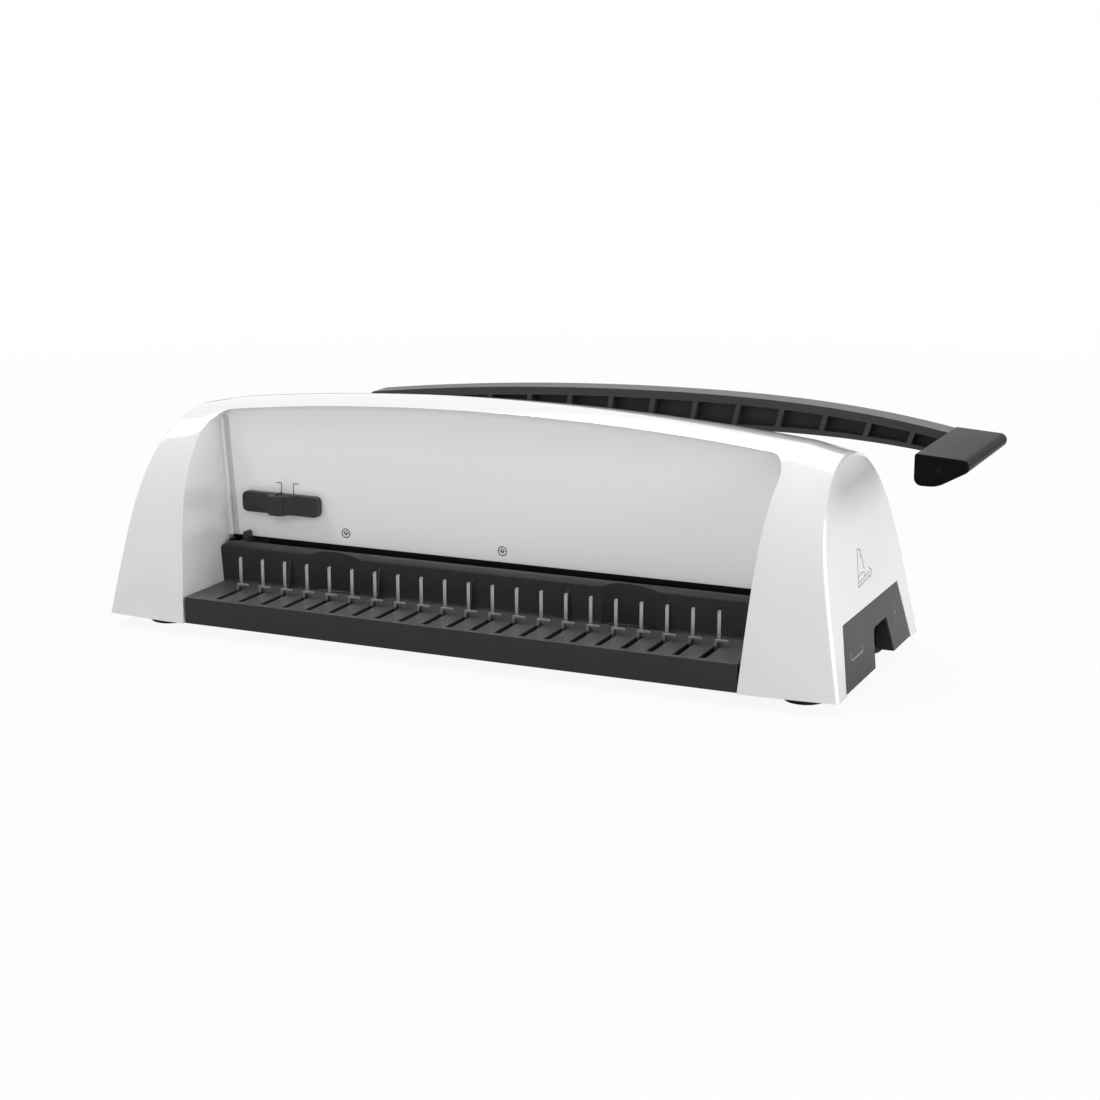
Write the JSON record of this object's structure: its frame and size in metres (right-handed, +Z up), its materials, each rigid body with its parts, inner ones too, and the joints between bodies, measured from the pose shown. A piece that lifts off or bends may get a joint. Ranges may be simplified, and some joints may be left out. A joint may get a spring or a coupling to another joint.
{
  "type": "comb binding machine",
  "caption": "Desk machine that punches a row of comb holes in paper and opens a plastic comb over its tines, worked by one long side lever with a cross grip.",
  "frame": {"origin": "middle of the object's own box, on the desk surface under the feet", "axes": "+X along the machine towards the grip end, +Y to the back, +Z up"},
  "size_m": [0.4798, 0.1562, 0.1381],
  "materials": {
    "white_shell": "moulded white, polished",
    "panel_grey": "moulded pale grey, satin",
    "tray_charcoal": "moulded charcoal, fine grain",
    "end_charcoal": "moulded charcoal, satin",
    "knob_grey": "moulded dark grey, satin",
    "lever_grey": "moulded dark grey, satin",
    "grip_black": "moulded near-black, low gloss",
    "black_rubber": "matt",
    "bronze": "turned bearing bronze",
    "bright_steel": "polished bright",
    "plate_steel": "zinc plated sheet"
  },
  "bodies": {
    "machine": {"outer_cover": "white_shell", "front_panel": "panel_grey", "comb_tray": "tray_charcoal", "base_plate": "tray_charcoal", "feet": "black_rubber", "cover_screws": "bright_steel", "left_frame": "plate_steel", "right_frame": "plate_steel", "die_plate": "plate_steel", "stripper_plate": "plate_steel", "paper_stop": "plate_steel", "chip_chute": "plate_steel", "guide_rods": "bright_steel", "slide_beam": "plate_steel", "guide_studs": "bright_steel", "tine_bar": "bright_steel", "comb_tines": "bright_steel", "front_bearing_plate": "plate_steel", "rear_bearing_plate": "plate_steel", "pivot_shaft": "bright_steel", "spacer_tube": "plate_steel", "thrust_washer": "bronze", "shaft_clips": "bright_steel", "handle_bumper": "black_rubber"},
    "handle": {"handle_arm": "lever_grey", "sector_gear": "plate_steel", "hub_bush": "bronze", "handle_grip": "grip_black", "grip_screw": "bright_steel"},
    "cam_slider": {"cam_plate": "plate_steel", "rack": "plate_steel"},
    "punch": {"punch_bar": "plate_steel", "punch_pins": "bright_steel", "punch_followers": "bright_steel"},
    "hook_slide": {"hook_plate": "plate_steel", "hooks": "bright_steel", "hook_drive_post": "plate_steel", "hook_follower": "bright_steel"},
    "chip_drawer": {"chip_tray": "end_charcoal", "chip_tray_panel": "end_charcoal"},
    "selector": {"selector_knob": "knob_grey", "selector_link": "knob_grey", "edge_guide": "knob_grey"}
  },
  "joints": [
    {"name": "handle_lift", "type": "hinge", "parent": "machine", "child": "handle", "pos_m": [-0.1831, 0, 0.073], "axis": [0, -1, 0], "range_deg": [0, 70]},
    {"name": "cam_slide", "type": "slide", "parent": "machine", "child": "cam_slider", "axis": [1, 0, 0], "range_m": [0, 0.0245]},
    {"name": "punch_slide", "type": "slide", "parent": "machine", "child": "punch", "axis": [0, 1, 0], "range_m": [0, 0.00882]},
    {"name": "hook_slide_out", "type": "slide", "parent": "machine", "child": "hook_slide", "axis": [0, -1, 0], "range_m": [0, 0.02005]},
    {"name": "drawer_slide", "type": "slide", "parent": "machine", "child": "chip_drawer", "axis": [1, 0, 0], "range_m": [0, 0.25]},
    {"name": "selector_slide", "type": "slide", "parent": "machine", "child": "selector", "axis": [1, 0, 0], "range_m": [0, 0.0079]}
  ],
  "couplings": [
    {"joint": "cam_slide", "follows": "handle_lift", "m_per_rad": 0.02},
    {"joint": "punch_slide", "follows": "handle_lift", "m_per_rad": 0.0072029},
    {"joint": "hook_slide_out", "follows": "handle_lift", "m_per_rad": 0.01637}
  ]
}
